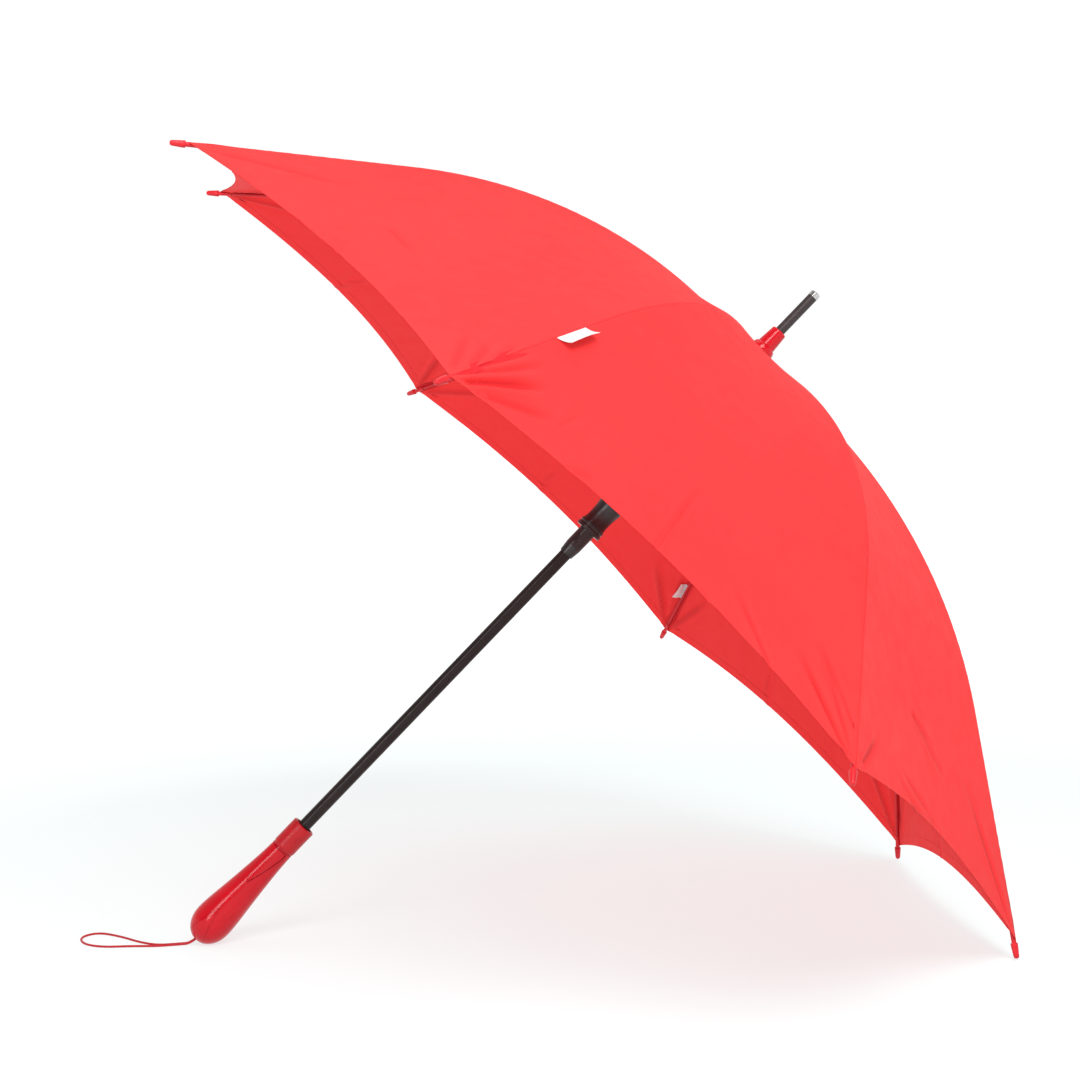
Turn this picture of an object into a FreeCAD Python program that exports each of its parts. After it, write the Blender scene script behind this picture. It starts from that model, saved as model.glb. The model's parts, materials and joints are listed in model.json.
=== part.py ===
"""Automatic stick umbrella, lying open on its side.

Every piece is built in the umbrella's own frame, in millimetres: Z runs up the shaft from the
handle's end to the ferrule, X is the side that ends uppermost when the umbrella lies down.
lay_down() then turns each piece to the resting pose on the floor.
"""

import FreeCAD
import Part
import os
from math import asin, cos, degrees, pi, radians, sin, sqrt, tan

V3 = FreeCAD.Vector

# ---- frame: ribs, gores and canopy ----
RIBS = 8
STEP_DEG = 360.0 / RIBS
HALF_STEP_DEG = STEP_DEG / 2

CROWN_RADIUS = 9.0          # radius of the pivot circles in the notch and the runner
CROWN_HEIGHT = 773.3        # outer face of the fabric above the notch pivots
CROWN_SLOPE_DEG = 5.14      # slope of the seam near the notch
RIM_SLOPE_DEG = 37.66       # slope of the seam near the rim
STRAIGHT_TO = 100.0         # the seam is straight out to this radius
BEND_RADIUS = 529.4         # then bends on this radius
RIM_RADIUS = 546.9          # radius of the circle through the rib tips
SEAM_END = RIM_RADIUS - 12.0
SCALLOP = 22.0              # how far the hem is cut back at mid gore
FABRIC_HOLE = 8.4           # the hole in the fabric's crown
FABRIC_THICK = 0.6

RIB_DEPTH = 3.4             # rib centreline below the fabric's outer face
KNEE_RADIUS = 250.0         # where the strut joins the rib
KNEE_DROP = 9.7             # strut pivot below the rib centreline
FLEX_RADIUS = 256.0         # where the steel rib ends and the fibreglass rib begins
RIB_WIDTH = 2.6
RIB_HEIGHT = 3.0
ROD_RADIUS = 1.5
TIP_SOCKET_RADIUS = 2.1
TIP_SOCKET_LENGTH = 10.0
TIP_RADIUS = 2.7
TIP_LENGTH = 13.5           # the tip's full-width end, beyond the fabric
STRUT_WIDTH = 2.2
STRUT_HEIGHT = 2.8
EYE_RADIUS = 1.9
PIN_RADIUS = 0.75
PIN_CLEAR = 0.08
SLOT_WIDTH = 3.2

# ---- shaft line ----
SHAFT_RADIUS = 6.0
SHAFT_WALL = 0.8
SHAFT_BOTTOM = 40.0
SHAFT_TOP = 797.4
RUN_CLEAR = 0.1
TOTAL_LENGTH = 850.0
END_RING_LENGTH = 5.2
END_RING_RADIUS = 5.05
SPIKE_RADIUS = 4.8
CAP_BOTTOM = 774.9
CAP_TOP = 800.0
NOTCH_BOTTOM = 758.0

# ---- runner, as heights in the open umbrella ----
CONE_END = 508.0
CONE_TOP = 518.0
SLEEVE_RADIUS = 8.25
FLANGE_BOTTOM = 538.0
FLANGE_RADIUS = 13.5

# ---- handle ----
COLLAR_TOP = 149.6
COLLAR_BOTTOM = 119.8
COLLAR_RADIUS = 11.6
CUP_RADIUS = 8.8
BUTT_HEIGHT = 24.0
BUTT_RADIUS = 19.3
TONGUE_DEG = 72.0
TONGUE_EDGE = [(8.2, 118.4), (8.2, 112.0), (5.8, 97.0), (3.4, 86.0), (0.9, 77.0)]  # half width, height
TONGUE_RAISE = 1.0
TONGUE_DEPTH = 4.6
TONGUE_CLEAR = 0.35
VEE_TOP = 43.0              # the pointed line low on the grip
VEE_SPREAD = 0.24           # its half width per millimetre below the point
VEE_WIDTH = 0.9
VEE_DEPTH = 0.5
CORD_RADIUS = 1.05
CORD_HOLE_RADIUS = 2.6

SLOPE_0 = radians(CROWN_SLOPE_DEG)
SLOPE_1 = radians(RIM_SLOPE_DEG)
BEND_TO = STRAIGHT_TO + BEND_RADIUS * (sin(SLOPE_1) - sin(SLOPE_0))
MID = cos(radians(HALF_STEP_DEG))


def seam_height(radius):
    """Height of the fabric's outer face over a rib, at this distance from the shaft."""
    if radius <= STRAIGHT_TO:
        return CROWN_HEIGHT - (radius - CROWN_RADIUS) * tan(SLOPE_0)
    start = CROWN_HEIGHT - (STRAIGHT_TO - CROWN_RADIUS) * tan(SLOPE_0)
    if radius <= BEND_TO:
        slope = asin(sin(SLOPE_0) + (radius - STRAIGHT_TO) / BEND_RADIUS)
        return start - BEND_RADIUS * (cos(SLOPE_0) - cos(slope))
    end = start - BEND_RADIUS * (cos(SLOPE_0) - cos(SLOPE_1))
    return end - (radius - BEND_TO) * tan(SLOPE_1)


def seam_slope(radius):
    """Slope of the seam in radians, positive where it falls away from the shaft."""
    if radius <= STRAIGHT_TO:
        return SLOPE_0
    if radius <= BEND_TO:
        return asin(sin(SLOPE_0) + (radius - STRAIGHT_TO) / BEND_RADIUS)
    return SLOPE_1


def rib_height(radius):
    return seam_height(radius) - RIB_DEPTH


NOTCH_PIVOT = rib_height(CROWN_RADIUS)
KNEE_HEIGHT = rib_height(KNEE_RADIUS) - KNEE_DROP
RUNNER_PIVOT = 2 * KNEE_HEIGHT - NOTCH_PIVOT    # equal arms put the runner here


def butt_low(tilt):
    """Lowest point of the handle's domed end, with the shaft raised by tilt."""
    reach = sqrt((BUTT_HEIGHT * sin(tilt)) ** 2 + (BUTT_RADIUS * cos(tilt)) ** 2)
    return BUTT_HEIGHT * sin(tilt) - reach


def tip_low(tilt):
    """Lowest point of the two lower rib tips."""
    out = RIM_RADIUS - TIP_RADIUS
    up = rib_height(out)
    return up * sin(tilt) - MID * out * cos(tilt) - TIP_RADIUS


def resting_tilt():
    """Angle of the shaft to the floor with the handle's end and two rib tips touching it."""
    low, high = radians(30), radians(60)
    for _ in range(60):
        mid = (low + high) / 2
        if tip_low(mid) < butt_low(mid):
            low = mid
        else:
            high = mid
    return (low + high) / 2


TILT = resting_tilt()
NODES = {}


def add(name, shape):
    """Keeps one piece under its node name; loose bits become one compound."""
    if isinstance(shape, list):
        shape = Part.makeCompound(shape)
    NODES[name] = shape


def lay_down(shape, shift=V3(0, 0, 0)):
    """From the umbrella's own frame to the floor's frame."""
    s, c = sin(TILT), cos(TILT)
    rows = [(-s, 0, c, shift.x), (0, -1, 0, shift.y), (c, 0, s, shift.z), (0, 0, 0, 1)]
    laid = shape.copy()
    laid.transformShape(FreeCAD.Matrix(*[value for row in rows for value in row]))
    return laid


def turned(shape, degrees):
    """A copy turned about the shaft."""
    copy = shape.copy()
    copy.rotate(V3(0, 0, 0), V3(0, 0, 1), degrees)
    return copy


def revolve(points, smooth=()):
    """A solid of revolution about the shaft from (radius, height) points.

    smooth holds (first, last) index pairs; those stretches become one curve.
    """
    at = [V3(r, 0, z) for r, z in points]
    edges = []
    i = 0
    starts = dict(smooth)
    while i < len(at) - 1:
        j = starts.get(i, i + 1)
        if j == i + 1:
            edges.append(Part.LineSegment(at[i], at[j]).toShape())
        else:
            curve = Part.BSplineCurve()
            curve.interpolate(at[i:j + 1])
            edges.append(curve.toShape())
        i = j
    if (at[-1] - at[0]).Length > 1e-6:
        edges.append(Part.LineSegment(at[-1], at[0]).toShape())
    return Part.Face(Part.Wire(edges)).revolve(V3(0, 0, 0), V3(0, 0, 1), 360)


def tube(outer, inner, low, high):
    body = Part.makeCylinder(outer, high - low, V3(0, 0, low))
    return body.cut(Part.makeCylinder(inner, high - low + 2, V3(0, 0, low - 1)))


def cross_pin(radius, height, half_length, pin_radius):
    """A short round bar across the plane of the first rib, centred on it."""
    return Part.makeCylinder(pin_radius, 2 * half_length, V3(radius, -half_length, height), V3(0, 1, 0))


def spread(samples, low, high):
    return [low + (high - low) * i / (samples - 1) for i in range(samples)]


def curve_edge(points):
    curve = Part.BSplineCurve()
    curve.interpolate(points)
    return curve.toShape()


def flat_bar(line, height, width):
    """A bar of rectangular section along points in the XZ plane, with rounded ends."""
    upper, lower = [], []
    for i, p in enumerate(line):
        a = line[max(i - 1, 0)]
        b = line[min(i + 1, len(line) - 1)]
        along = (b - a).normalize()
        side = V3(-along.z, 0, along.x) * (height / 2)
        upper.append(p + side)
        lower.append(p - side)
    first = Part.Arc(lower[0], line[0] + (line[0] - line[1]).normalize() * (height / 2), upper[0])
    last = Part.Arc(upper[-1], line[-1] + (line[-1] - line[-2]).normalize() * (height / 2), lower[-1])
    if len(line) > 2:
        top, bottom = curve_edge(upper), curve_edge(lower[::-1])
    else:
        top, bottom = Part.makeLine(*upper), Part.makeLine(*lower[::-1])
    face = Part.Face(Part.Wire([first.toShape(), top, last.toShape(), bottom]))
    face.translate(V3(0, -width / 2, 0))
    return face.extrude(V3(0, width, 0))


def around(shape, k):
    """The piece for rib k, from the one built in the XZ plane."""
    return turned(shape, HALF_STEP_DEG + STEP_DEG * k)


# ---- ribs, struts and tips ----
def make_rib_inner():
    """Steel rib from the notch to the knee, with an eye at the top and two ears for the strut."""
    line = [V3(r, 0, rib_height(r)) for r in spread(9, CROWN_RADIUS, FLEX_RADIUS - 0.1)]
    last = line[-1]
    inward = (line[-2] - last).normalize()
    line[-1] = last + inward * (RIB_HEIGHT / 2)
    bar = flat_bar(line, RIB_HEIGHT, RIB_WIDTH)
    eye = cross_pin(CROWN_RADIUS, NOTCH_PIVOT, RIB_WIDTH / 2, EYE_RADIUS)
    bar = bar.fuse(eye)
    knee = V3(KNEE_RADIUS, 0, KNEE_HEIGHT)
    top = V3(KNEE_RADIUS, 0, rib_height(KNEE_RADIUS))
    ear = flat_bar([knee, top], 2 * EYE_RADIUS, 0.7)
    gap = STRUT_WIDTH / 2 + 0.2 + 0.35
    ears = [ear.translated(V3(0, side * gap, 0)) for side in (-1, 1)]
    pin = cross_pin(KNEE_RADIUS, KNEE_HEIGHT, gap + 0.7, PIN_RADIUS)
    bar = bar.fuse(ears + [pin])
    return bar.cut(cross_pin(CROWN_RADIUS, NOTCH_PIVOT, RIB_WIDTH, PIN_RADIUS + PIN_CLEAR))


def make_strut():
    """Straight strut between the runner's crown and the knee, with an eye at each end."""
    low = V3(CROWN_RADIUS, 0, RUNNER_PIVOT)
    high = V3(KNEE_RADIUS, 0, KNEE_HEIGHT)
    bar = flat_bar([low, high], STRUT_HEIGHT, STRUT_WIDTH)
    for p in (low, high):
        bar = bar.fuse(cross_pin(p.x, p.z, STRUT_WIDTH / 2, EYE_RADIUS))
    for p in (low, high):
        bar = bar.cut(cross_pin(p.x, p.z, STRUT_WIDTH, PIN_RADIUS + PIN_CLEAR))
    return bar


def along_rim(radius):
    """Point and outward direction on the rib's centreline near the rim."""
    slope = seam_slope(radius)
    return V3(radius, 0, rib_height(radius)), V3(cos(slope), 0, -sin(slope))


def make_rib_outer():
    """Round fibreglass rib from the knee to the tip's socket: a bent stretch and a straight one."""
    start = along_rim(FLEX_RADIUS + 0.4)[0]
    middle = along_rim((FLEX_RADIUS + BEND_TO) / 2)[0]
    straight_from = along_rim(BEND_TO)[0]
    end = along_rim(SEAM_END - 4.0)[0]
    bent = Part.Arc(start, middle, straight_from).toShape()
    path = Part.Wire([bent, Part.makeLine(straight_from, end)])
    ring = Part.Wire(Part.Circle(start, bent.tangentAt(bent.FirstParameter), ROD_RADIUS).toShape())
    return path.makePipeShell([ring], True, True)


def make_tip():
    """Plastic tip: a socket over the rib's end and a round-ended bar beyond the fabric."""
    end, way = along_rim(SEAM_END - 4.0)
    socket_start = end - way * TIP_SOCKET_LENGTH
    dome = along_rim(RIM_RADIUS - TIP_RADIUS)[0]
    bar_start = dome - way * (TIP_LENGTH - TIP_RADIUS)
    reach = (bar_start - socket_start).Length
    step = TIP_RADIUS - TIP_SOCKET_RADIUS
    tip = Part.makeCylinder(TIP_SOCKET_RADIUS, reach, socket_start, way)
    shoulder = Part.makeCone(TIP_SOCKET_RADIUS, TIP_RADIUS, step, bar_start, way)
    bar = Part.makeCylinder(TIP_RADIUS, TIP_LENGTH - TIP_RADIUS - step, bar_start + way * step, way)
    tip = tip.fuse([shoulder, bar, Part.makeSphere(TIP_RADIUS, dome)])
    bore = Part.makeCylinder(ROD_RADIUS, TIP_SOCKET_LENGTH + 0.1, socket_start - way * 0.1, way)
    return tip.cut(bore)


# ---- canopy ----
def seam_points(azimuth_deg, low, high, samples, drop=0.0):
    az = radians(azimuth_deg)
    return [V3(r * cos(az), r * sin(az), seam_height(r) - drop) for r in spread(samples, low, high)]


def gore_panel(low, high, samples):
    """The stretch of one gore between two radii, ruled from rib to rib, for the gore at azimuth 0."""
    left = curve_edge(seam_points(HALF_STEP_DEG, low, high, samples))
    right = curve_edge(seam_points(-HALF_STEP_DEG, low, high, samples))
    return Part.makeRuledSurface(left, right).extrude(V3(0, 0, -FABRIC_THICK))


def make_gore_inner():
    return gore_panel(FABRIC_HOLE, FLEX_RADIUS - 0.2, 11)


def make_gore_outer():
    """Outer stretch of a gore with its hem cut back in a shallow arc between the tips."""
    panel = gore_panel(FLEX_RADIUS + 0.2, SEAM_END, 11)
    end = SEAM_END * MID
    side = SEAM_END * sin(radians(HALF_STEP_DEG))
    back = SCALLOP * MID
    corners = [V3(end, side, 0), V3(end - back, 0, 0), V3(end, -side, 0)]
    arc = Part.Arc(*corners).toShape()
    far = [V3(end, -side, 0), V3(end + 60, -side, 0), V3(end + 60, side, 0), V3(end, side, 0)]
    lines = [Part.makeLine(a, b) for a, b in zip(far, far[1:])]
    cutter = Part.Face(Part.Wire([arc] + lines)).extrude(V3(0, 0, 900))
    return panel.cut(cutter)


# ---- shaft line ----
def make_shaft():
    return tube(SHAFT_RADIUS, SHAFT_RADIUS - SHAFT_WALL, SHAFT_BOTTOM, SHAFT_TOP)


def ring_of_pins(height):
    """One short pin across each slot of the notch or the runner."""
    pin = cross_pin(CROWN_RADIUS, height, SLOT_WIDTH / 2 + 0.5, PIN_RADIUS)
    return [around(pin, k) for k in range(RIBS)]


def make_notch():
    """Top notch: a slotted ring whose eight pins carry the ribs, and a collar above it."""
    ring = tube(12.0, SHAFT_RADIUS, NOTCH_BOTTOM, NOTCH_PIVOT + 1.0)
    for k in range(RIBS):
        slot = Part.makeBox(12, SLOT_WIDTH, 30, V3(6.9, -SLOT_WIDTH / 2, NOTCH_BOTTOM - 5))
        ring = ring.cut(around(slot, k))
    pins = ring_of_pins(NOTCH_PIVOT)
    base = tube(7.45, SHAFT_RADIUS, NOTCH_BOTTOM - 4, CAP_BOTTOM + 3.0)
    base = base.cut(tube(9.0, 6.9, NOTCH_BOTTOM + 1, NOTCH_PIVOT + 2.2))
    return ring.fuse([base] + pins)


def make_cap():
    """Red cap over the notch: a flared foot, a step in to the waist, and a cone up to a flat top."""
    outline = [
        (SHAFT_RADIUS, CAP_BOTTOM + 3.2), (8.4, CAP_BOTTOM + 3.2), (8.4, CAP_BOTTOM), (11.9, CAP_BOTTOM),
        (11.8, CAP_BOTTOM + 1.6), (11.3, CAP_BOTTOM + 3.6), (10.6, CAP_BOTTOM + 5.4), (9.1, CAP_BOTTOM + 6.5),
        (7.6, CAP_TOP - 0.7), (7.0, CAP_TOP), (SPIKE_RADIUS, CAP_TOP), (SPIKE_RADIUS, SHAFT_TOP),
        (SHAFT_RADIUS, SHAFT_TOP),
    ]
    return revolve(outline, smooth=[(3, 6)])


def make_spike():
    """Ferrule: a straight black rod plugged into the shaft's end, with a peg for the end ring."""
    ring_start = TOTAL_LENGTH - END_RING_LENGTH
    plug = SHAFT_RADIUS - SHAFT_WALL
    outline = [
        (0, CAP_BOTTOM), (plug, CAP_BOTTOM), (plug, SHAFT_TOP), (SPIKE_RADIUS, SHAFT_TOP),
        (SPIKE_RADIUS, ring_start), (3.2, ring_start), (3.2, ring_start + 3.4), (0, ring_start + 3.4),
    ]
    return revolve(outline)


def make_end_ring():
    ring_start = TOTAL_LENGTH - END_RING_LENGTH
    outline = [
        (3.2, ring_start), (END_RING_RADIUS, ring_start), (END_RING_RADIUS, TOTAL_LENGTH - 0.8),
        (END_RING_RADIUS - 0.8, TOTAL_LENGTH), (0, TOTAL_LENGTH), (0, ring_start + 3.4),
        (3.2, ring_start + 3.4),
    ]
    return revolve(outline)


def make_runner():
    """Runner: the latch sleeve, the flared bell that is held, and the crown that carries the struts."""
    bore = SHAFT_RADIUS + RUN_CLEAR
    low = FLANGE_BOTTOM
    crown = RUNNER_PIVOT
    outline = [
        (bore, CONE_END), (7.0, CONE_END), (SLEEVE_RADIUS, CONE_TOP), (SLEEVE_RADIUS, low),
        (FLANGE_RADIUS, low), (FLANGE_RADIUS, low + 3.2), (12.6, low + 3.8), (12.6, low + 4.8),
        (13.0, low + 5.4), (13.0, low + 7.6), (12.2, low + 8.2), (12.2, low + 9.2),
        (11.7, low + 10.0), (11.4, low + 15.0), (11.6, low + 22.0),
        (12.4, low + 29.0), (13.2, low + 33.0), (13.2, low + 36.0), (10.4, low + 37.5), (10.0, crown - 14.0),
        (12.2, crown - 9.0), (12.2, crown + 1.2), (bore, crown + 1.2),
    ]
    body = revolve(outline, smooth=[(12, 16)])
    for k in range(RIBS):
        slot = Part.makeBox(12, SLOT_WIDTH, 30, V3(7.05, -SLOT_WIDTH / 2, crown - 2.6))
        body = body.cut(around(slot, k))
    pins = ring_of_pins(crown)
    latch = Part.makeBox(6, 3.4, 8.0, V3(6.6, -1.7, CONE_TOP + 4.5))
    return body.fuse(pins).cut(turned(latch, TONGUE_DEG))


# ---- handle ----
def grip_outline(extra=0.0):
    """(radius, height) down the grip's side from the collar to the domed end."""
    side = [(11.2, COLLAR_BOTTOM), (11.9, 104.0), (13.4, 86.0), (15.4, 66.0), (17.7, 46.0), (19.0, 33.0)]
    dome = []
    for i in range(1, 7):
        turn = pi / 2 * i / 6
        dome.append((BUTT_RADIUS * cos(turn), BUTT_HEIGHT * (1 - sin(turn))))
    side = side + [(BUTT_RADIUS, BUTT_HEIGHT)] + dome[:-1]
    return [(r + extra, z) for r, z in side] + [(0, -extra)]


def grip_solid(extra=0.0):
    points = grip_outline(extra)
    closed = points + [(0, COLLAR_BOTTOM)]
    return revolve(closed, smooth=[(0, len(points) - 1)])


def tongue_prism(grow):
    """The tongue's pointed outline, drawn out sideways through the grip's wall."""
    edge = [(half + grow, z) for half, z in TONGUE_EDGE]
    edge[0] = (edge[0][0], edge[0][1] + grow)
    edge[-1] = (edge[-1][0], edge[-1][1] - grow)
    left = [V3(4, -half, z) for half, z in edge]
    right = [V3(4, half, z) for half, z in edge]
    outline = left + right[::-1]
    plate = Part.Face(Part.makePolygon(outline + outline[:1])).extrude(V3(36, 0, 0))
    return turned(plate, TONGUE_DEG)


def vee_prism(top):
    """Everything below a pointed line on the grip, drawn out sideways."""
    low = -2.0
    half = (top - low) * VEE_SPREAD
    corners = [V3(3, 0, top), V3(3, half, low), V3(3, -half, low)]
    return Part.Face(Part.makePolygon(corners + corners[:1])).extrude(V3(37, 0, 0))


def vee_groove():
    """Shallow pointed groove over the grip's lower end."""
    rise = VEE_WIDTH / 2 * sqrt(1 + VEE_SPREAD ** 2) / VEE_SPREAD
    band = vee_prism(VEE_TOP + rise).cut(vee_prism(VEE_TOP - rise))
    return turned(band, TONGUE_DEG).cut(grip_solid(-VEE_DEPTH))


def make_handle():
    """Grip, collar and release tongue."""
    solid = grip_solid()
    pocket_floor = grip_solid(-TONGUE_DEPTH - 2.8)
    pocket = tongue_prism(TONGUE_CLEAR).cut(pocket_floor)
    bore = Part.makeCylinder(SHAFT_RADIUS, COLLAR_BOTTOM - SHAFT_BOTTOM + 5, V3(0, 0, SHAFT_BOTTOM))
    cord_hole = Part.makeCylinder(CORD_HOLE_RADIUS, 22, V3(0, 0, -2))
    pocket = pocket.cut(Part.makeCylinder(SHAFT_RADIUS + 1.0, 100, V3(0, 0, SHAFT_BOTTOM)))
    grip = solid.cut(pocket).cut(bore).cut(cord_hole).cut(vee_groove())
    add("handle_grip", grip)
    tongue = tongue_prism(0).common(grip_solid(TONGUE_RAISE)).cut(grip_solid(-TONGUE_DEPTH + 1.0))
    tongue = tongue.cut(Part.makeCylinder(SHAFT_RADIUS + 4.2, 100, V3(0, 0, SHAFT_BOTTOM)))
    add("release_button", tongue)
    outline = [
        (CUP_RADIUS, COLLAR_BOTTOM + 0.6), (CUP_RADIUS, COLLAR_TOP - 0.8), (CUP_RADIUS + 0.8, COLLAR_TOP),
        (COLLAR_RADIUS - 0.8, COLLAR_TOP), (COLLAR_RADIUS, COLLAR_TOP - 0.8),
        (COLLAR_RADIUS, COLLAR_BOTTOM + 3),
        (COLLAR_RADIUS - 0.7, COLLAR_BOTTOM + 0.2), (SHAFT_RADIUS, COLLAR_BOTTOM + 0.2),
        (SHAFT_RADIUS, COLLAR_BOTTOM + 0.6),
    ]
    add("handle_collar", revolve(outline))


# ---- wrist cord, measured from the handle's end, with Z up from there ----
CORD_LEVEL = butt_low(TILT) + CORD_RADIUS + 0.1
CORD_SIDE = 1.35            # half the distance between the two strands in the handle's hole
CORD_CORNER = 5.3           # how far out of the hole the cord turns along the floor
CORD_ROOT = -6.0
CORD_LOOP = [
    (-17, 1.2), (-36, -0.2), (-54, 14), (-76, 42), (-100, 63), (-116, 48), (-110, 20), (-90, 3.5), (-62, 1.5),
    (-37, -4.0), (-17, -1.9),
]


def cord_route():
    """Out of the handle's end, round a loop on the floor, and back into the handle."""
    out = V3(-cos(TILT), 0, -sin(TILT))
    root, corner = out * CORD_ROOT, out * CORD_CORNER
    loop = [V3(x, y, CORD_LEVEL) for x, y in CORD_LOOP]
    side = V3(0, CORD_SIDE, 0)
    return [root + side, corner + side] + loop + [corner - side, root - side]


def rounded_tube(route, radius):
    """A tube of straight runs joined by tangent arcs as large as the runs allow."""
    edges, radii, here = [], [], route[0]
    for before, corner, after in zip(route, route[1:], route[2:]):
        into, away = (corner - before), (after - corner)
        cut = 0.45 * min(into.Length, away.Length)
        into.normalize()
        away.normalize()
        start, end = corner - into * cut, corner + away * cut
        half_turn = into.getAngle(away) / 2
        bend = cut / tan(half_turn)
        bisector = (away - into).normalize()
        middle = corner + bisector * (bend / cos(half_turn) - bend)
        edges += [Part.makeLine(here, start), Part.Arc(start, middle, end).toShape()]
        radii.append(round(bend, 1))
        here = end
    edges.append(Part.makeLine(here, route[-1]))
    path = Part.Wire(edges)
    ring = Part.Wire(Part.Circle(route[0], route[1] - route[0], radius).toShape())
    tube_solid = path.makePipeShell([ring], True, True)
    print("cord length", round(path.Length, 1), "radii", radii)
    section = pi * radius ** 2
    print("cord volume", round(tube_solid.Volume, 1), "expected", round(section * path.Length, 1))
    return tube_solid


def make_cord():
    return rounded_tube(cord_route(), CORD_RADIUS)


# ---- labels ----
def patch(azimuth_deg, corners, lift, thick):
    """A thin rectangle of cloth over a gore, from (radius, sideways) corners."""
    away = []
    for radius, side in corners:
        height = seam_height(radius / MID) + lift
        away.append(V3(radius, side, height))
    face = Part.makeRuledSurface(Part.makeLine(away[0], away[1]), Part.makeLine(away[3], away[2]))
    return turned(face.extrude(V3(0, 0, thick)), azimuth_deg)


def build():
    rib_inner, rib_outer, strut, tip = make_rib_inner(), make_rib_outer(), make_strut(), make_tip()
    gore_inner, gore_outer = make_gore_inner(), make_gore_outer()
    for k in range(RIBS):
        add(f"rib_inner_{k}", around(rib_inner, k))
        add(f"rib_outer_{k}", around(rib_outer, k))
        add(f"strut_{k}", around(strut, k))
        add(f"rib_tip_{k}", around(tip, k))
        add(f"gore_crown_{k}", turned(gore_inner, STEP_DEG * (k + 1)))
        add(f"gore_skirt_{k}", turned(gore_outer, STEP_DEG * (k + 1)))
    add("shaft", make_shaft())
    add("top_notch", make_notch())
    add("top_cap", make_cap())
    add("ferrule_spike", make_spike())
    add("ferrule_end_ring", make_end_ring())
    add("runner", make_runner())
    make_handle()
    seam_patch = [(366.8, -151.5), (396.3, -163.7), (396.3, -153.7), (366.8, -141.5)]
    add("seam_label", patch(STEP_DEG * 2, seam_patch, 0.15, 0.35))
    care_patch = [(436.0, -177.0), (466.0, -189.0), (466.0, -175.0), (436.0, -163.0)]
    add("care_label", patch(STEP_DEG * 6, care_patch, -FABRIC_THICK - 0.75, 0.35))


build()
OUTERMOST = [name for name in NODES if name.startswith(("rib_tip_", "handle_grip"))]
REACH = [p for name in OUTERMOST for p in lay_down(NODES[name]).tessellate(0.02)[0]]
FAR_LEFT = min(p.x for p in REACH)
FAR_RIGHT = max(p.x for p in REACH)
SHIFT = V3(-(FAR_LEFT + FAR_RIGHT) / 2, 0, -butt_low(TILT))
NODES = {name: lay_down(shape, SHIFT) for name, shape in NODES.items()}
NODES["wrist_cord"] = make_cord().translated(SHIFT)

os.makedirs("parts", exist_ok=True)
for name, shape in NODES.items():
    shape.exportStep(f"parts/{name}.step")
print("tilt_deg", degrees(TILT), "shift_mm", SHIFT, "knee", KNEE_HEIGHT, "runner", RUNNER_PIVOT)
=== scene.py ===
"""Red automatic stick umbrella lying open on a white floor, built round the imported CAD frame."""

import json
import math

import bpy
import numpy as np
from mathutils import Matrix, Vector


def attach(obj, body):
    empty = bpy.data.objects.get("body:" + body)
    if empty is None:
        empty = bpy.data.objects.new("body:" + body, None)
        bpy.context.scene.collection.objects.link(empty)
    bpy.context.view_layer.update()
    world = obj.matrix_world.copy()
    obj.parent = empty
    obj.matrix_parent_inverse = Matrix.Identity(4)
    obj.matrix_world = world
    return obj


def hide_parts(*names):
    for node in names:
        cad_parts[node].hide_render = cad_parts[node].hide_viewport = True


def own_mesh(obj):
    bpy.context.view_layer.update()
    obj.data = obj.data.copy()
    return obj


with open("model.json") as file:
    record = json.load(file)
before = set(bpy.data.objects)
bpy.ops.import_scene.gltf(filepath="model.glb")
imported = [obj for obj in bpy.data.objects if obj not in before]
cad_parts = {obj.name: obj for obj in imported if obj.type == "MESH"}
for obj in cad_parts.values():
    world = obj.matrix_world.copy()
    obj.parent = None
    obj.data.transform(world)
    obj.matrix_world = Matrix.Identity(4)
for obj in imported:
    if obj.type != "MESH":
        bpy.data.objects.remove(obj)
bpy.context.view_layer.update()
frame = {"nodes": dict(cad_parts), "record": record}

# ---- the umbrella's own frame: Z up the shaft from the handle's end, X uppermost ----
MOUNTS = {m["name"]: m for m in frame["record"]["mounts"]}
AXIS = Vector(MOUNTS["ferrule"]["axis"]).normalized()
GRIP_MOUNT_HEIGHT = 0.070
HANDLE_END = Vector(MOUNTS["grip"]["pos_m"]) - AXIS * GRIP_MOUNT_HEIGHT
ACROSS = Vector((0, -1, 0))
UPPER = ACROSS.cross(AXIS).normalized()
TO_FLOOR = Matrix((UPPER, ACROSS, AXIS)).transposed().to_4x4()
TO_FLOOR.translation = HANDLE_END

# ---- canopy dimensions, in metres ----
RIBS = 8
STEP = 2 * math.pi / RIBS
HALF = STEP / 2
MID = math.cos(HALF)
SIDE = math.sin(HALF)
CROWN_RADIUS = 0.0090
CROWN_HEIGHT = 0.7733
SLOPE_0 = math.radians(5.14)
SLOPE_1 = math.radians(37.66)
STRAIGHT_TO = 0.100
BEND_RADIUS = 0.5294
BEND_TO = STRAIGHT_TO + BEND_RADIUS * (math.sin(SLOPE_1) - math.sin(SLOPE_0))
FABRIC_HOLE = 0.0084
KNEE_LINE = 0.256
SEAM_END = 0.5349
SCALLOP = 0.022
CLOTH = 0.00045
RIB_DEPTH = 0.0034
SAG = 0.005


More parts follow.
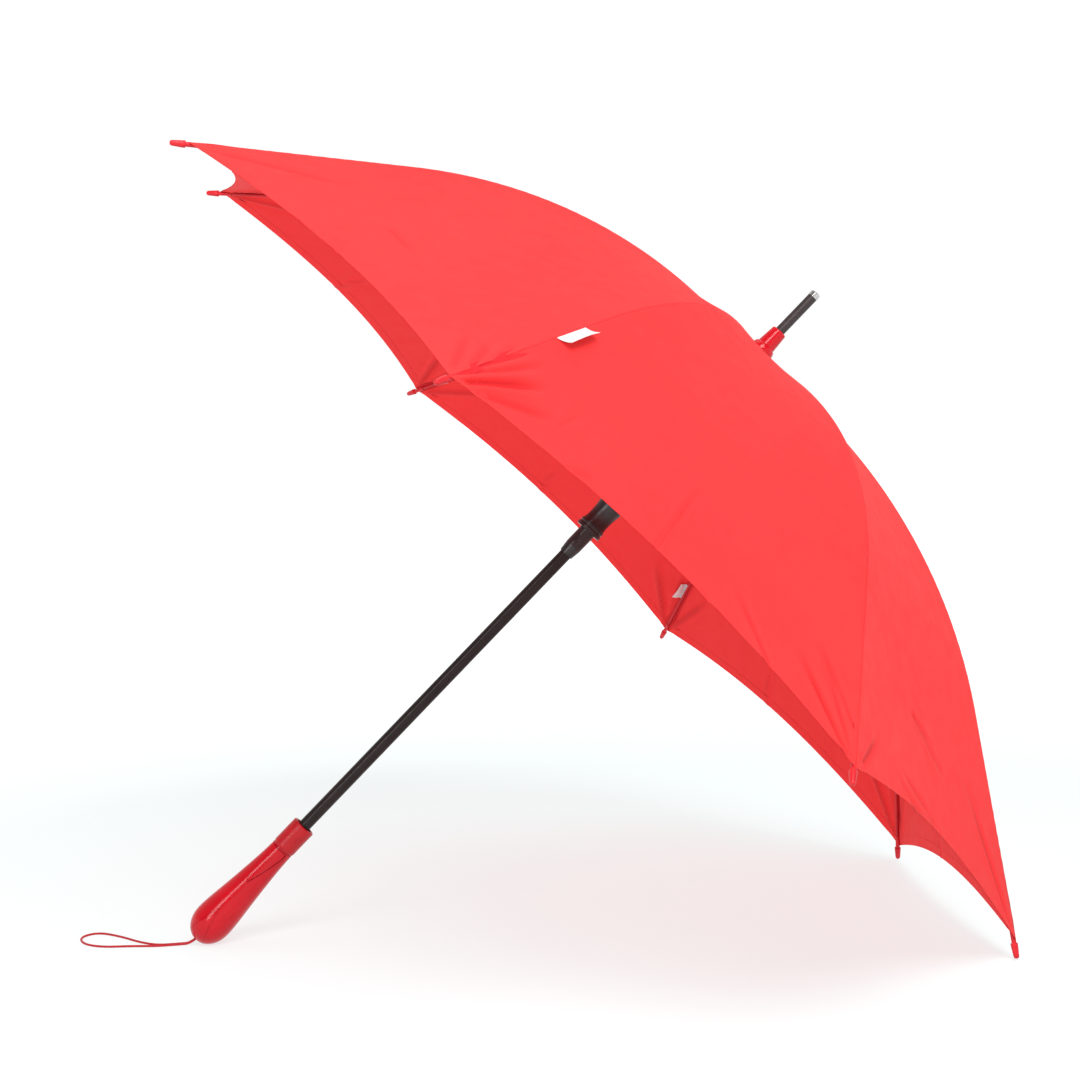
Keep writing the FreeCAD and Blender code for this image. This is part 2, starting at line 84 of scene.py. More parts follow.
def seam_height(radius):
    """Height of the fabric's outer face over a rib."""
    r = np.asarray(radius, float)
    start = CROWN_HEIGHT - (STRAIGHT_TO - CROWN_RADIUS) * math.tan(SLOPE_0)
    end = start - BEND_RADIUS * (math.cos(SLOPE_0) - math.cos(SLOPE_1))
    inner = CROWN_HEIGHT - (r - CROWN_RADIUS) * math.tan(SLOPE_0)
    sine = np.clip(math.sin(SLOPE_0) + (r - STRAIGHT_TO) / BEND_RADIUS, 0, math.sin(SLOPE_1))
    bent = start - BEND_RADIUS * (math.cos(SLOPE_0) - np.sqrt(1 - sine ** 2))
    outer = end - (r - BEND_TO) * math.tan(SLOPE_1)
    return np.where(r <= STRAIGHT_TO, inner, np.where(r <= BEND_TO, bent, outer))


# ---- materials ----
class Shader:
    """A Principled material with short calls for the nodes that feed it."""

    def __init__(self, name, color, roughness, metallic=0.0, specular=0.5, coat=0.0, sheen=0.0):
        self.material = bpy.data.materials.new(name)
        self.material.use_nodes = True
        self.tree = self.material.node_tree
        self.bsdf = self.tree.nodes["Principled BSDF"]
        self.base = (*color, 1.0)
        self.set("Base Color", self.base)
        self.set("Roughness", roughness)
        self.set("Metallic", metallic)
        self.set("Specular IOR Level", specular)
        self.set("Coat Weight", coat)
        self.set("Sheen Weight", sheen)
        self.place = self.node("ShaderNodeTexCoord").outputs["Object"]
        self.heights = []

    def node(self, kind, **values):
        made = self.tree.nodes.new(kind)
        for key, value in values.items():
            if key in made.inputs:
                made.inputs[key].default_value = value
            else:
                setattr(made, key, value)
        return made

    def set(self, socket, value):
        self.bsdf.inputs[socket].default_value = value

    def link(self, out, into):
        self.tree.links.new(out, into)

    def noise(self, scale, detail=3.0, place=None, stretch=None):
        made = self.node("ShaderNodeTexNoise", Scale=scale, Detail=detail)
        source = place or self.place
        if stretch:
            mapping = self.node("ShaderNodeMapping")
            mapping.inputs["Scale"].default_value = stretch
            self.link(source, mapping.inputs["Vector"])
            source = mapping.outputs["Vector"]
        self.link(source, made.inputs["Vector"])
        return made.outputs["Fac"]

    def ramp(self, out, low, high, start=0.3, end=0.7):
        made = self.node("ShaderNodeMapRange")
        made.inputs["From Min"].default_value = start
        made.inputs["From Max"].default_value = end
        made.inputs["To Min"].default_value = low
        made.inputs["To Max"].default_value = high
        self.link(out, made.inputs["Value"])
        return made.outputs["Result"]

    def vary_color(self, out, other, start=0.35, end=0.65):
        mix = self.node("ShaderNodeMix", data_type="RGBA")
        self.link(self.ramp(out, 0.0, 1.0, start, end), mix.inputs["Factor"])
        mix.inputs[6].default_value = self.base
        mix.inputs[7].default_value = (*other, 1.0)
        self.link(mix.outputs[2], self.bsdf.inputs["Base Color"])

    def vary_roughness(self, out, low, high):
        self.link(self.ramp(out, low, high), self.bsdf.inputs["Roughness"])

    def bump(self, out, strength, distance):
        made = self.node("ShaderNodeBump", Strength=strength, Distance=distance)
        self.link(out, made.inputs["Height"])
        if self.heights:
            self.link(self.heights[-1], made.inputs["Normal"])
        self.heights.append(made.outputs["Normal"])
        self.link(made.outputs["Normal"], self.bsdf.inputs["Normal"])

    def math(self, operation, a, b=None):
        made = self.node("ShaderNodeMath", operation=operation)
        for socket, value in zip(made.inputs, (a, b)):
            if value is None:
                continue
            if isinstance(value, (int, float)):
                socket.default_value = value
            else:
                self.link(value, socket)
        return made.outputs[0]


def weave(shader, pitch, strength):
    """Plain weave across the cloth's UV map, which is in metres."""
    uv = shader.node("ShaderNodeUVMap", uv_map="cloth").outputs["UV"]
    parts = shader.node("ShaderNodeSeparateXYZ")
    shader.link(uv, parts.inputs[0])
    turns = 2 * math.pi / pitch
    warp = shader.math("SINE", shader.math("MULTIPLY", parts.outputs["X"], turns))
    weft = shader.math("SINE", shader.math("MULTIPLY", parts.outputs["Y"], turns))
    shader.bump(shader.math("MULTIPLY", warp, weft), strength, 0.0001)
    return uv


def stitch_line_and_crease_shade(shader):
    """Darken the stitch line beside each seam, and paint shade into the bottoms of the creases."""
    parts = shader.node("ShaderNodeSeparateXYZ")
    shader.link(shader.node("ShaderNodeUVMap", uv_map="detail").outputs["UV"], parts.inputs[0])
    seam = shader.ramp(parts.outputs["X"], 0.42, 0.0, 0.0003, 0.0012)
    # painted shade: the crease depth from the detail map darkens the cloth in the bottoms of the creases
    crease = shader.ramp(parts.outputs["Y"], 0.0, 0.5, 0.0002, 0.0020)
    stitch_and_crease_shade = shader.math("MAXIMUM", seam, crease)
    plain = shader.bsdf.inputs["Base Color"].links[0].from_socket
    mix = shader.node("ShaderNodeMix", data_type="RGBA")
    shader.link(stitch_and_crease_shade, mix.inputs["Factor"])
    shader.link(plain, mix.inputs[6])
    # dark red that the stitch line and the painted crease shade are mixed towards
    mix.inputs[7].default_value = (0.42, 0.008, 0.012, 1.0)
    shader.link(mix.outputs[2], shader.bsdf.inputs["Base Color"])


def canopy_material():
    s = Shader("canopy_polyester", (0.86, 0.038, 0.039), 0.70, specular=0.12)
    s.vary_color(s.noise(7.0, 3.0), (0.83, 0.034, 0.036))
    s.vary_roughness(s.noise(60.0, 2.0), 0.65, 0.75)
    s.bump(s.noise(38.0, 4.0), 0.07, 0.0012)
    weave(s, 0.0007, 0.3)
    # darker stitch line beside the seams, and painted shade in the crease bottoms
    stitch_line_and_crease_shade(s)
    return s.material


def tape_material():
    s = Shader("seam_tape", (0.66, 0.016, 0.022), 0.65, specular=0.15)
    s.vary_color(s.noise(80.0), (0.56, 0.012, 0.018))
    weave(s, 0.0008, 0.4)
    return s.material


def red_gloss_material():
    s = Shader("handle_gloss_red", (0.54, 0.005, 0.014), 0.12, specular=0.24, coat=0.08)
    s.set("Coat Roughness", 0.05)
    s.vary_color(s.noise(40.0), (0.49, 0.0045, 0.012))
    s.vary_roughness(s.noise(220.0, 5.0), 0.10, 0.17)
    s.bump(s.noise(60.0, 2.0), 0.04, 0.0008)
    return s.material


def red_satin_material():
    s = Shader("collar_satin_red", (0.46, 0.008, 0.014), 0.34, specular=0.3)
    s.vary_color(s.noise(90.0), (0.41, 0.007, 0.012))
    s.vary_roughness(s.noise(300.0, 4.0), 0.27, 0.40)
    s.bump(s.noise(900.0, 2.0), 0.06, 0.0003)
    return s.material


def tip_material():
    s = Shader("tip_red", (0.66, 0.014, 0.022), 0.36, specular=0.3)
    s.vary_color(s.noise(200.0), (0.54, 0.010, 0.018))
    s.vary_roughness(s.noise(500.0, 3.0), 0.30, 0.42)
    return s.material


def black_plastic_material():
    s = Shader("black_plastic", (0.012, 0.008, 0.008), 0.30, specular=0.5)
    s.vary_color(s.noise(120.0), (0.020, 0.012, 0.012))
    s.vary_roughness(s.noise(400.0, 3.0), 0.24, 0.36)
    s.bump(s.noise(1400.0, 2.0), 0.03, 0.0002)
    return s.material


def shaft_material():
    s = Shader("shaft_black", (0.016, 0.010, 0.009), 0.30, specular=0.2, coat=0.03)
    s.set("Coat Roughness", 0.1)
    s.vary_color(s.noise(60.0), (0.022, 0.014, 0.013))
    s.vary_roughness(s.noise(300.0, 3.0), 0.25, 0.35)
    return s.material


def spike_material():
    s = Shader("spike_black", (0.020, 0.013, 0.013), 0.42, specular=0.45)
    s.vary_color(s.noise(90.0), (0.030, 0.020, 0.020))
    s.vary_roughness(s.noise(400.0, 3.0), 0.36, 0.48)
    return s.material


def steel_material():
    s = Shader("rib_steel", (0.30, 0.29, 0.28), 0.32, metallic=0.9)
    s.vary_color(s.noise(150.0), (0.22, 0.215, 0.21))
    s.vary_roughness(s.noise(700.0, 3.0), 0.26, 0.42)
    return s.material


def fibreglass_material():
    s = Shader("rib_fibreglass", (0.55, 0.010, 0.016), 0.40, specular=0.3)
    s.vary_color(s.noise(140.0), (0.45, 0.008, 0.013))
    s.vary_roughness(s.noise(500.0, 3.0), 0.28, 0.42)
    return s.material


def chrome_material():
    s = Shader("end_ring_nickel", (0.62, 0.60, 0.57), 0.14, metallic=1.0)
    s.vary_color(s.noise(300.0), (0.50, 0.49, 0.47))
    s.vary_roughness(s.noise(900.0, 3.0), 0.10, 0.22)
    return s.material


def cord_material():
    s = Shader("cord_braid", (0.52, 0.010, 0.018), 0.5, specular=0.3)
    s.vary_color(s.noise(900.0), (0.40, 0.008, 0.014))
    s.bump(s.noise(2600.0, 2.0), 0.4, 0.0003)
    return s.material


def label_material():
    s = Shader("label_satin", (0.78, 0.76, 0.76), 0.45, specular=0.4)
    s.vary_color(s.noise(120.0), (0.66, 0.64, 0.66))
    weave(s, 0.0005, 0.3)
    return s.material


CANOPY = canopy_material()
TAPE = tape_material()
LABEL = label_material()
CORD = cord_material()


# ---- canopy cloth ----
# Creases by gore: (radius, side) where a crease starts and where it dies out, its depth and its
# half width. Side is measured across the gore from its middle, towards the higher-numbered rib.
CREASES = {
    0: (
        ((0.452, -0.040), (0.455, 0.015), 0.0007, 0.0035),
        ((0.529, 0.198), (0.486, 0.143), 0.0008, 0.0040),
        ((0.516, 0.197), (0.478, 0.161), 0.0008, 0.0035),
        ((0.493, 0.189), (0.459, 0.164), 0.0006, 0.0035),
        ((0.527, -0.079), (0.512, -0.013), 0.0004, 0.0050),
        ((0.522, 0.000), (0.502, 0.000), 0.0004, 0.0030),
        ((0.528, -0.190), (0.440, -0.110), 0.0008, 0.0060),
    ),
    1: (
        ((0.534, -0.199), (0.474, -0.146), 0.0024, 0.0034),
        ((0.532, -0.202), (0.458, -0.157), 0.0013, 0.0030),
        ((0.531, -0.203), (0.458, -0.170), 0.0010, 0.0030),
        ((0.530, -0.186), (0.489, -0.124), 0.0013, 0.0052),
        ((0.494, -0.121), (0.466, -0.112), 0.0005, 0.0040),
        ((0.519, -0.100), (0.504, -0.073), 0.0007, 0.0045),
        ((0.520, -0.009), (0.437, -0.006), 0.0008, 0.0024),
        ((0.521, 0.115), (0.484, 0.058), 0.0009, 0.0034),
        ((0.525, 0.063), (0.508, 0.034), 0.0006, 0.0034),
        ((0.534, 0.200), (0.487, 0.126), 0.0015, 0.0036),
        ((0.532, 0.201), (0.465, 0.136), 0.0010, 0.0036),
        ((0.510, 0.193), (0.468, 0.144), 0.0009, 0.0034),
    ),
    2: (
        ((0.440, -0.044), (0.450, 0.012), 0.0010, 0.0032),
        ((0.446, -0.030), (0.462, 0.036), 0.0007, 0.0032),
        ((0.504, -0.096), (0.518, -0.035), 0.0007, 0.0028),
        ((0.497, -0.084), (0.510, 0.004), 0.0007, 0.0028),
        ((0.514, -0.060), (0.510, 0.000), 0.0005, 0.0026),
        ((0.532, -0.194), (0.495, -0.143), 0.0014, 0.0040),
        ((0.530, 0.190), (0.450, 0.100), 0.0010, 0.0050),
    ),
}
COMMON_CREASES = (
    ((0.533, -0.200), (0.470, -0.130), 0.0014, 0.0042),
    ((0.533, 0.200), (0.462, 0.140), 0.0012, 0.0044),
    ((0.528, -0.196), (0.450, -0.158), 0.0008, 0.0036),
    ((0.518, 0.020), (0.470, 0.028), 0.0006, 0.0040),
)


CREASE_GAIN = 1.5           # how much deeper than the table the creases are built


def creases(k, radius, side):
    """Height lost in the cloth's small folds."""
    lift = np.zeros_like(radius)
    for (r0, s0), (r1, s1), depth, width in CREASES.get(k, COMMON_CREASES):
        run = np.array((r1 - r0, s1 - s0))
        length = float(np.hypot(*run))
        run = run / length
        along = ((radius - r0) * run[0] + (side - s0) * run[1]) / length
        off = (side - s0) * run[0] - (radius - r0) * run[1]
        fade = np.clip(0.15 + along * 5, 0, 1) * np.clip((1.15 - along) * 1.8, 0, 1)
        fade = fade * fade * (3 - 2 * fade)
        spread = width * (0.6 + 0.6 * np.clip(along, 0, 1))
        valley = -np.exp(-(off / spread) ** 2)
        near_ridge = 0.5 * np.exp(-((off - 1.8 * spread) / spread) ** 2)
        far_ridge = 0.35 * np.exp(-((off + 1.9 * spread) / spread) ** 2)
        ridge = near_ridge + far_ridge
        lift += CREASE_GAIN * depth * fade * (valley + ridge)
    return lift


SEAM_GROOVE = 0.0005
PUCKER_PITCH = 0.0105
PUCKER_DEPTH = 0.00013


def seam_puckers(k, radius, from_seam):
    """The groove along a stitched seam, and the short gathers that the stitching pulls."""
    groove = -SEAM_GROOVE * np.exp(-(from_seam / 0.0016) ** 2)
    wave = np.sin(2 * np.pi * radius / PUCKER_PITCH + 1.7 * np.sin(radius * 75 + k))
    wave = wave * (0.6 + 0.4 * np.sin(radius * 31 + 2 * k))
    return groove + PUCKER_DEPTH * wave * np.exp(-from_seam / 0.006) * np.clip((radius - 0.12) / 0.1, 0, 1)


def cloth_point(k, radius, share):
    """Points of gore k's outer face: share runs from -1 to 1, from rib to rib."""
    radius, share = np.broadcast_arrays(np.asarray(radius, float), np.asarray(share, float))
    span = radius * SIDE
    side = share * span
    out = radius * MID
    up = seam_height(radius)
    reach = np.clip((radius - CROWN_RADIUS) / (SEAM_END - CROWN_RADIUS), 0, 1.05)
    inward = SAG * (1 - share ** 2) * np.sin(np.pi * reach * 0.86) ** 0.8
    lift = creases(k, radius, side) + seam_puckers(k, radius, np.abs(span - np.abs(side))) - inward
    step = 1e-4
    fall = -(seam_height(radius + step) - seam_height(radius - step)) / (2 * step * MID)
    size = np.sqrt(1 + fall ** 2)
    out = out + lift * fall / size
    up = up + lift / size
    turn = STEP * (k + 1)
    x = out * math.cos(turn) - side * math.sin(turn)
    y = out * math.sin(turn) + side * math.cos(turn)
    return np.stack([x, y, up], -1)


def cloth_normal(k, radius, share):
    step = 2e-4
    along = cloth_point(k, radius + step, share) - cloth_point(k, radius - step, share)
    around = cloth_point(k, radius, share + 2e-3) - cloth_point(k, radius, share - 2e-3)
    normal = np.cross(along, around)
    return normal / np.linalg.norm(normal, axis=-1, keepdims=True)


def hem_radius(share):
    return SEAM_END - SCALLOP * (1 - share ** 2)


def to_floor(points):
    m = np.array(TO_FLOOR)
    return np.asarray(points) @ m[:3, :3].T + m[:3, 3]


def slab(name, outer, normals, uv, thickness, material, detail=None):
    """A thin closed sheet from a grid of points, its normals, and a second face below it.

    detail, if given, is a second UV map: distance from the seam, and depth in a crease, which the canopy
    shader turns into painted shade.
    """
    rows, cols = outer.shape[:2]
    inner = outer - normals * thickness
    points = np.concatenate([outer.reshape(-1, 3), inner.reshape(-1, 3)])
    at = np.arange(rows * cols).reshape(rows, cols)
    a, b, c, d = at[:-1, :-1], at[:-1, 1:], at[1:, 1:], at[1:, :-1]
    top = np.stack([a, d, c, b], -1).reshape(-1, 4)
    bottom = np.stack([a, b, c, d], -1).reshape(-1, 4) + rows * cols
    ring = np.concatenate([at[0, :], at[1:, -1], at[-1, -2::-1], at[-2:0:-1, 0]])
    after = np.roll(ring, -1)
    wall = np.stack([ring, after, after + rows * cols, ring + rows * cols], -1)
    faces = np.concatenate([top, bottom, wall])
    mesh = bpy.data.meshes.new(name)
    mesh.from_pydata(to_floor(points).tolist(), [], faces.tolist())
    mesh.polygons.foreach_set("use_smooth", [True] * len(mesh.polygons))
    index = np.zeros(len(mesh.loops), int)
    mesh.loops.foreach_get("vertex_index", index)
    for map_name, values in (("cloth", uv), ("detail", detail)):
        if values is None:
            continue
        layer = mesh.uv_layers.new(name=map_name)
        flat = np.concatenate([values.reshape(-1, 2)] * 2)
        layer.data.foreach_set("uv", flat[index].astype(np.float32).ravel())
    turned = normals.reshape(-1, 3) @ np.array(TO_FLOOR)[:3, :3].T
    mesh.normals_split_custom_set_from_vertices(np.concatenate([turned, -turned]).tolist())
    mesh.materials.append(material)
    made = bpy.data.objects.new(name, mesh)
    bpy.context.scene.collection.objects.link(made)
    return made


def meridian_length(radius):
    """Distance along the mid gore from the crown, for the cloth's UV map."""
    steps = np.linspace(CROWN_RADIUS, SEAM_END, 400)
    rise = np.diff(seam_height(steps))
    total = np.concatenate([[0], np.cumsum(np.hypot(np.diff(steps) * MID, rise))])
    return np.interp(radius, steps, total)


def gore(name, k, low, high, rows, cols):
    """One stretch of gore k. low and high give its radii for a share across the gore."""
    even = np.linspace(-1, 1, cols)[None, :]
    share = np.sign(even) * (1 - (1 - np.abs(even)) ** 1.35)
    run = np.linspace(0, 1, rows)[:, None]
    radius = low(share) * (1 - run) + high(share) * run
    share = np.broadcast_to(share, radius.shape)
    outer = cloth_point(k, radius, share)
    uv = np.stack([share * radius * SIDE, meridian_length(radius)], -1)
    side = share * radius * SIDE
    # distance from the seam for the darker stitch line, and crease depth for the painted shade in the crease
    # bottoms
    detail = np.stack([radius * SIDE - np.abs(side), np.maximum(-creases(k, radius, side), 0)], -1)
    return slab(name, outer, cloth_normal(k, radius, share), uv, CLOTH, CANOPY, detail)


def gather(piece):
    """Give the piece its own copy of its mesh data."""
    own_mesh(piece)


def build_canopy():
    knee = lambda share: KNEE_LINE + 0 * share
    hole = lambda share: FABRIC_HOLE + 0 * share
    for k in range(RIBS):
        rows, cols = (110, 141) if k in CREASES else (64, 81)
        crown = gore(f"cloth_crown_{k}", k, hole, knee, 48, 49)
        skirt = gore(f"cloth_skirt_{k}", k, knee, hem_radius, rows, cols)
        hem = hem_strip(k)
        for piece, stretch in ((crown, "crown"), (skirt, "skirt")):
            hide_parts(f"gore_{stretch}_{k}")
            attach(piece, f"{stretch}_{k}")
            gather(piece)
        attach(hem, f"skirt_{k}")
        gather(hem)


HEM_WIDTH = 0.008


def hem_strip(k):
    """The folded hem: a second layer of cloth inside the rim."""
    share = np.linspace(-0.985, 0.985, 49)[None, :]
    run = np.linspace(0, 1, 3)[:, None]
    radius = hem_radius(share) - HEM_WIDTH * (1 - run) - 0.0006
    share = np.broadcast_to(share, radius.shape)
    normal = cloth_normal(k, radius, share)
    outer = cloth_point(k, radius, share) - normal * (CLOTH + 0.00005)
    uv = np.stack([share * radius * SIDE, meridian_length(radius)], -1)
    return slab(f"hem_{k}", outer, normal, uv, 0.00015, CANOPY, uv * 0 + (0.01, 0.0))


TIP_MATERIAL = tip_material()
TIP_PROFILE = (
    (-0.0145, 0.0), (-0.0145, 0.0021), (-0.0004, 0.0021), (0.0, 0.0031), (0.0006, 0.0032), (0.0040, 0.0030),
    (0.0110, 0.0025), (0.0122, 0.0022), (0.0130, 0.0014), (0.0133, 0.0),
)
TIP_START = 0.5347


def revolved(name, start, way, profile, material, sides=24):
    """A closed round piece from (distance along way, radius) points."""
    across = way.cross(Vector((0, 0, 1))).normalized()
    over = way.cross(across)
    points, faces, rings = [], [], []
    for along, radius in profile:
        middle = start + way * along
        if radius == 0:
            rings.append([len(points)] * sides)
            points.append(middle)
            continue
        rings.append([len(points) + i for i in range(sides)])
        for i in range(sides):
            turn = 2 * math.pi * i / sides
            points.append(middle + (across * math.cos(turn) + over * math.sin(turn)) * radius)
    for a, b in zip(rings, rings[1:]):
        for i in range(sides):
            j = (i + 1) % sides
            faces.append(tuple(dict.fromkeys((a[i], a[j], b[j], b[i]))))
    mesh = bpy.data.meshes.new(name)
    mesh.from_pydata(points, [], faces)
    mesh.polygons.foreach_set("use_smooth", [True] * len(mesh.polygons))
    mesh.set_sharp_from_angle(angle=math.radians(40))
    mesh.materials.append(material)
    made = bpy.data.objects.new(name, mesh)
    bpy.context.scene.collection.objects.link(made)
    return made


def build_tips():
    """Plastic tips: a socket on the rib's end, and a tapered round end beyond the cloth."""
    for k in range(RIBS):
        turn = HALF + STEP * k
        out = Vector((math.cos(turn), math.sin(turn), 0))
        start = out * TIP_START + Vector((0, 0, float(seam_height(TIP_START)) - RIB_DEPTH))
        way = out * math.cos(SLOPE_1) - Vector((0, 0, math.sin(SLOPE_1)))
        turned = TO_FLOOR.to_3x3() @ way
        tip = revolved(f"tip_{k}", TO_FLOOR @ start, turned, TIP_PROFILE, TIP_MATERIAL)
        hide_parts(f"rib_tip_{k}")
        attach(tip, f"rib_end_{k}")


TAPE_HALF_WIDTH = 0.0045


def build_tapes():
    """The felled seam allowance under each rib line, one strip per rib stretch."""
    offsets = TAPE_HALF_WIDTH * np.array((-1, -0.5, 0, 0.5, 1))
    for k in range(RIBS):
        turn = HALF + STEP * k
        for name, body, low, high in (
            (f"seam_inner_{k}", f"rib_{k}", 0.014, KNEE_LINE),
            (f"seam_outer_{k}", f"rib_end_{k}", KNEE_LINE, SEAM_END - 0.001),
        ):
            radius = np.linspace(low, high, 40)
            rows = []
            for side in offsets:
                out = radius - abs(side) * math.tan(HALF)
                up = seam_height(radius)
                x = out * math.cos(turn) - side * math.sin(turn)
                y = out * math.sin(turn) + side * math.cos(turn)
                rows.append(np.stack([x, y, up], -1))
            grid = np.stack(rows, 1)
            fall = -np.gradient(seam_height(radius), radius)
            size = np.sqrt(1 + fall ** 2)
            normal = np.stack([fall / size * math.cos(turn), fall / size * math.sin(turn), 1 / size], -1)
            normal = np.repeat(normal[:, None, :], len(offsets), 1)
            uv = np.stack(np.broadcast_arrays(offsets[None, :], radius[:, None]), -1)
            tape = slab(name, grid - normal * (CLOTH + 0.0002), normal, uv, 0.0004, TAPE)
            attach(tape, body)


def label(name, node, k, body, along, depth, lift, curl):
    """A plain cloth label sewn in the seam at the gore's lower-numbered rib, curling off the cloth."""
    low, high = along
    run = np.linspace(0, 1, 16)[:, None]
    over = np.linspace(0, 1, 10)[None, :]
    radius = low + (high - low) * run + 0 * over
    share = -1 + (0.0006 + over * depth) / (radius * SIDE)
    rise = curl * (over ** 2 + 0.35 * np.sin(np.pi * run) * over) + lift
    normal = cloth_normal(k, radius, share)
    outer = cloth_point(k, radius, share) + normal * rise[..., None]
    fall = np.gradient(outer, axis=0)
    around = np.gradient(outer, axis=1)
    facing = np.cross(fall, around)
    facing = facing / np.linalg.norm(facing, axis=-1, keepdims=True)
    uv = np.stack([share * radius * SIDE, meridian_length(radius)], -1)
    made = slab(name, outer, facing, uv, 0.0003, LABEL)
    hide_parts(node)
    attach(made, body)
    gather(made)


def build_labels():
    """Two plain labels: one outside on a seam, one inside near the rim."""
    label("label_outside", "seam_label", 1, "skirt_1", (0.400, 0.430), 0.0101, 0.0006, 0.0065)
    label("label_inside", "care_label", 5, "skirt_5", (0.466, 0.486), 0.0105, -0.0012, -0.0060)


# ---- wrist cord ----
CORD_DIAMETER = 0.0021
CORD_LEVEL = -0.0039541
CORD_SIDE = 0.00135
CORD_CORNER = 0.0053
CORD_ROOT = -0.006
CORD_LOOP = (
    (-0.017, 0.0012), (-0.036, -0.0002), (-0.054, 0.014), (-0.076, 0.042), (-0.100, 0.063), (-0.116, 0.048),
    (-0.110, 0.020), (-0.090, 0.0035), (-0.062, 0.0015), (-0.037, -0.0040), (-0.017, -0.0019),
)


def build_cord():
    out = -AXIS
    side = Vector((0, CORD_SIDE, 0))
    loop = [Vector((x, y, CORD_LEVEL)) for x, y in CORD_LOOP]
    start = [out * CORD_ROOT + side, out * CORD_CORNER + side]
    end = [out * CORD_CORNER - side, out * CORD_ROOT - side]
    points = start + loop + end
    curve = bpy.data.curves.new("cord_line", "CURVE")
    curve.dimensions = "3D"
    spline = curve.splines.new("NURBS")
    spline.points.add(len(points) - 1)
    for slot, p in zip(spline.points, points):
        slot.co = (*(HANDLE_END + p), 1.0)
    spline.order_u = 3
    spline.use_endpoint_u = True
    spline.resolution_u = 16
    curve.bevel_depth = CORD_DIAMETER / 2
    curve.bevel_resolution = 5
    curve.materials.append(CORD)
    cord = bpy.data.objects.new("cord_loop", curve)
    bpy.context.scene.collection.objects.link(cord)
    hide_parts("wrist_cord")
    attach(cord, "body")


# ---- finishes on the CAD pieces ----
def dress_frame():
    gloss, satin, black = red_gloss_material(), red_satin_material(), black_plastic_material()
    steel, glass, shaft, chrome = steel_material(), fibreglass_material(), shaft_material(), chrome_material()
    finishes = {
        "shaft": shaft, "top_notch": black, "top_cap": gloss,
        "ferrule_spike": spike_material(), "ferrule_end_ring": chrome,
        "runner": black, "handle_grip": gloss, "handle_collar": satin, "release_button": gloss,
        "rib_inner": steel, "strut": steel, "rib_outer": glass, "rib_tip": TIP_MATERIAL,
        "gore_crown": CANOPY, "gore_skirt": CANOPY, "wrist_cord": CORD,
        "seam_label": LABEL, "care_label": LABEL,
    }
    for name, piece in frame["nodes"].items():
        stem = name.rstrip("0123456789").rstrip("_")
        piece.data.materials.clear()
        piece.data.materials.append(finishes.get(name) or finishes[stem])


# ---- floor, lights and camera ----
def area_light(name, place, target, size, power):
    data = bpy.data.lights.new(name, "AREA")
    data.shape = "RECTANGLE"
    data.size, data.size_y = size
    data.energy = power
    lamp = bpy.data.objects.new(name, data)
    lamp.location = place
    lamp.rotation_mode = "QUATERNION"
    lamp.rotation_quaternion = (Vector(target) - Vector(place)).to_track_quat("-Z", "Y")
    bpy.context.scene.collection.objects.link(lamp)


def floor_material():
    """White sweep that glows a little, so that shadows on it stay soft and pale."""
    s = Shader("floor_white", (0.24, 0.30, 0.30), 0.9, specular=0.03)
    s.vary_color(s.noise(3.0), (0.235, 0.295, 0.295))
    s.set("Emission Color", (1, 1, 1, 1))
    away = s.node("ShaderNodeVectorMath", operation="LENGTH")
    s.link(s.place, away.inputs[0])
    s.link(s.ramp(away.outputs["Value"], 0.72, 1.0, 0.9, 2.4), s.bsdf.inputs["Emission Strength"])
    return s.material


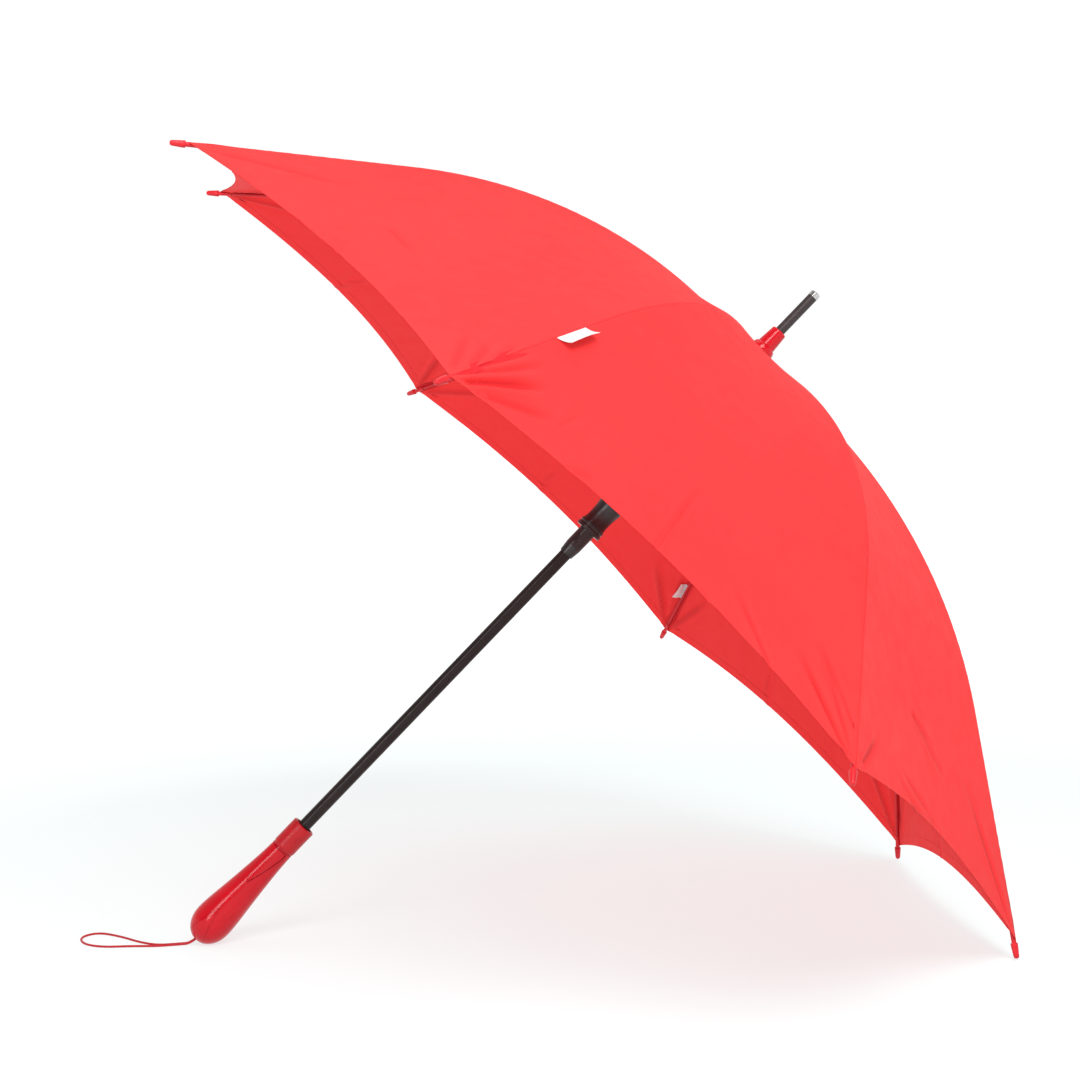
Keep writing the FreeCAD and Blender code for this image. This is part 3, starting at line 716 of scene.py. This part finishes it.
def build_world():
    """White round the horizon and behind the object, dark above the side that the camera is on."""
    world = bpy.data.worlds.new("studio")
    bpy.context.scene.world = world
    world.use_nodes = True
    tree = world.node_tree

    def ramp(source, start, end, low, high):
        made = tree.nodes.new("ShaderNodeMapRange")
        for name, value in zip(("From Min", "From Max", "To Min", "To Max"), (start, end, low, high)):
            made.inputs[name].default_value = value
        tree.links.new(source, made.inputs["Value"])
        return made.outputs["Result"]

    place = tree.nodes.new("ShaderNodeTexCoord")
    parts = tree.nodes.new("ShaderNodeSeparateXYZ")
    tree.links.new(place.outputs["Generated"], parts.inputs[0])
    above = ramp(parts.outputs["Z"], 0.22, 0.34, 0.0, 1.0)
    dark = ramp(parts.outputs["Y"], -0.3, 0.4, 0.78, 0.35)
    loss = tree.nodes.new("ShaderNodeMath")
    loss.operation = "MULTIPLY"
    tree.links.new(above, loss.inputs[0])
    tree.links.new(dark, loss.inputs[1])
    left = tree.nodes.new("ShaderNodeMath")
    left.operation = "SUBTRACT"
    left.inputs[0].default_value = 1.02
    tree.links.new(loss.outputs[0], left.inputs[1])
    back = tree.nodes["Background"]
    back.inputs["Color"].default_value = (1, 1, 1, 1)
    tree.links.new(left.outputs[0], back.inputs["Strength"])


FLOOR_REACH = 60.0


def build_studio():
    mesh = bpy.data.meshes.new("floor")
    corners = [(x * FLOOR_REACH, y * FLOOR_REACH, 0) for x, y in ((-1, -1), (1, -1), (1, 1), (-1, 1))]
    mesh.from_pydata(corners, [], [(0, 1, 2, 3)])
    mesh.materials.append(floor_material())
    floor = bpy.data.objects.new("floor", mesh)
    bpy.context.scene.collection.objects.link(floor)
    build_world()
    area_light("key", (0.4, -2.1, 2.5), (0.0, 0.0, 0.35), (1.8, 1.4), 84)
    area_light("strip", (-1.6, -1.9, 1.25), (-0.3, 0.0, 0.15), (0.5, 1.4), 15)
    area_light("top", (0.1, 0.5, 3.0), (0.0, 0.0, 0.3), (1.8, 1.8), 12)


CAMERA_AZIMUTH = math.radians(-1.92)
CAMERA_ELEVATION = math.radians(3.18)
CAMERA_ROLL = math.radians(-2.5)
CAMERA_DISTANCE = 2.0314
CAMERA_TARGET = Vector((-0.1090, 0.0, 0.3867))
CAMERA_LENS = 71.59
CAMERA_SHIFT = (0.0892, -0.0121)


def build_camera():
    a, e = CAMERA_AZIMUTH, CAMERA_ELEVATION
    back = Vector((math.sin(a) * math.cos(e), -math.cos(a) * math.cos(e), math.sin(e)))
    right = Vector((0, 0, 1)).cross(back).normalized()
    up = back.cross(right)
    c, s = math.cos(CAMERA_ROLL), math.sin(CAMERA_ROLL)
    turned = Matrix((right * c + up * s, up * c - right * s, back)).transposed().to_4x4()
    turned.translation = CAMERA_TARGET + back * CAMERA_DISTANCE
    data = bpy.data.cameras.new("camera")
    data.lens = CAMERA_LENS
    data.shift_x, data.shift_y = CAMERA_SHIFT
    camera = bpy.data.objects.new("camera", data)
    camera.matrix_world = turned
    bpy.context.scene.collection.objects.link(camera)
    bpy.context.scene.camera = camera


build_camera()
build_studio()
dress_frame()
build_cord()
build_canopy()
build_tips()
build_tapes()
build_labels()

bpy.context.scene.view_settings.view_transform = "Standard"
bpy.context.view_layer.update()
